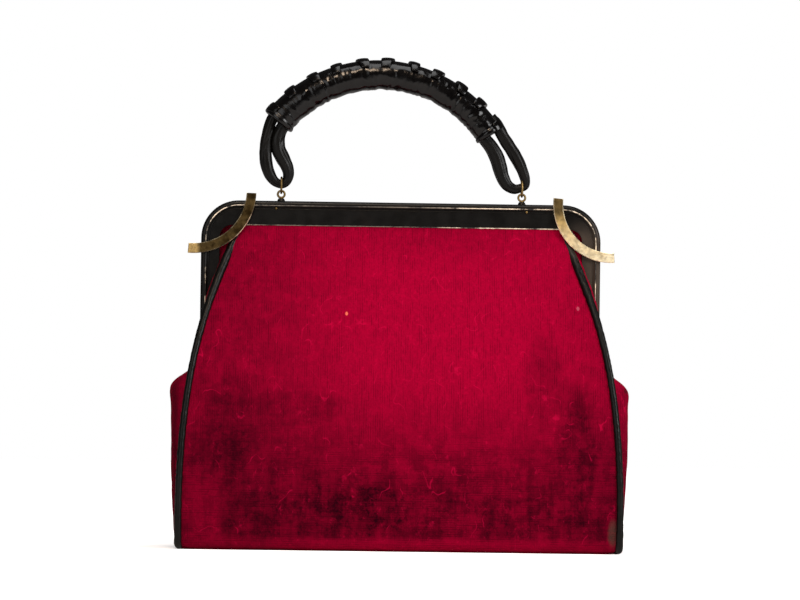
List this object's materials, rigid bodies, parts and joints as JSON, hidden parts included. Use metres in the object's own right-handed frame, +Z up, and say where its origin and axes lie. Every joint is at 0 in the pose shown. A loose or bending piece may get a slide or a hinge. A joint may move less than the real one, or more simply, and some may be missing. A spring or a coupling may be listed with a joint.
{
  "type": "velvet frame handbag",
  "caption": "Velvet frame handbag with leather piping, a leather-covered hinged frame, brass corner arcs and an arched laced handle on rings.",
  "frame": {"origin": "middle of the base, on the surface the bag stands on", "axes": "+Z up to the handle, +X to the right seen from the front, +Y from the front to the back"},
  "size_m": [0.2892, 0.0934, 0.3147],
  "materials": {
    "velvet": "crushed cotton velvet, crimson",
    "black_leather": "smooth polished black leather",
    "brass": "worn lacquered brass",
    "steel": "plain steel strip",
    "lining_cloth": "plain woven black lining",
    "board": "pressed fibre board",
    "padding": "felt padding"
  },
  "bodies": {
    "bag_body": {"front_panel": "velvet", "back_panel": "velvet", "front_left_piping": "black_leather", "back_left_piping": "black_leather", "front_right_piping": "black_leather", "back_right_piping": "black_leather", "left_gusset": "velvet", "right_gusset": "velvet", "left_gusset_tab": "black_leather", "right_gusset_tab": "black_leather", "left_hinge_pin": "brass", "right_hinge_pin": "brass", "base_panel": "velvet", "base_board": "board", "lining": "lining_cloth"},
    "front_frame": {"front_frame_cover": "black_leather", "front_frame_core": "steel", "front_panel_top": "velvet", "front_lining_top": "lining_cloth", "front_left_piping_top": "black_leather", "front_right_piping_top": "black_leather", "front_left_wing": "velvet", "front_right_wing": "velvet", "left_corner_arc": "brass", "right_corner_arc": "brass", "left_handle_post": "black_leather", "right_handle_post": "black_leather", "left_handle_eye": "brass", "right_handle_eye": "brass", "left_post_tack": "brass", "right_post_tack": "brass", "catch_stud": "brass"},
    "back_frame": {"back_frame_cover": "black_leather", "back_frame_core": "steel", "back_panel_top": "velvet", "back_lining_top": "lining_cloth", "back_left_piping_top": "black_leather", "back_right_piping_top": "black_leather", "back_left_wing": "velvet", "back_right_wing": "velvet", "catch_socket": "brass"},
    "left_ring": {"left_handle_ring": "brass"},
    "right_ring": {"right_handle_ring": "brass"},
    "handle": {"handle_cord": "black_leather", "handle_sleeve": "black_leather", "handle_padding": "padding", "handle_lacing": "black_leather"}
  },
  "joints": [
    {"name": "front_frame_hinge", "type": "hinge", "parent": "bag_body", "child": "front_frame", "pos_m": [0, 0, 0.107], "axis": [1, 0, 0], "range_deg": [0, 22]},
    {"name": "back_frame_hinge", "type": "hinge", "parent": "bag_body", "child": "back_frame", "pos_m": [0, 0, 0.107], "axis": [1, 0, 0], "range_deg": [-22, 0]},
    {"name": "left_ring_hinge", "type": "hinge", "parent": "front_frame", "child": "left_ring", "pos_m": [-0.077, -0.0036, 0.2286], "axis": [1, 0, 0], "range_deg": [-60, 60]},
    {"name": "right_ring_hinge", "type": "hinge", "parent": "front_frame", "child": "right_ring", "pos_m": [0.077, -0.0036, 0.2286], "axis": [1, 0, 0], "range_deg": [-60, 60]},
    {"name": "handle_hinge", "type": "hinge", "parent": "left_ring", "child": "handle", "pos_m": [-0.077, -0.0036, 0.23295], "axis": [1, 0, 0], "range_deg": [-40, 40]}
  ],
  "couplings": [
    {"joint": "back_frame_hinge", "follows": "front_frame_hinge", "ratio": -1},
    {"joint": "right_ring_hinge", "follows": "left_ring_hinge", "ratio": 1}
  ]
}
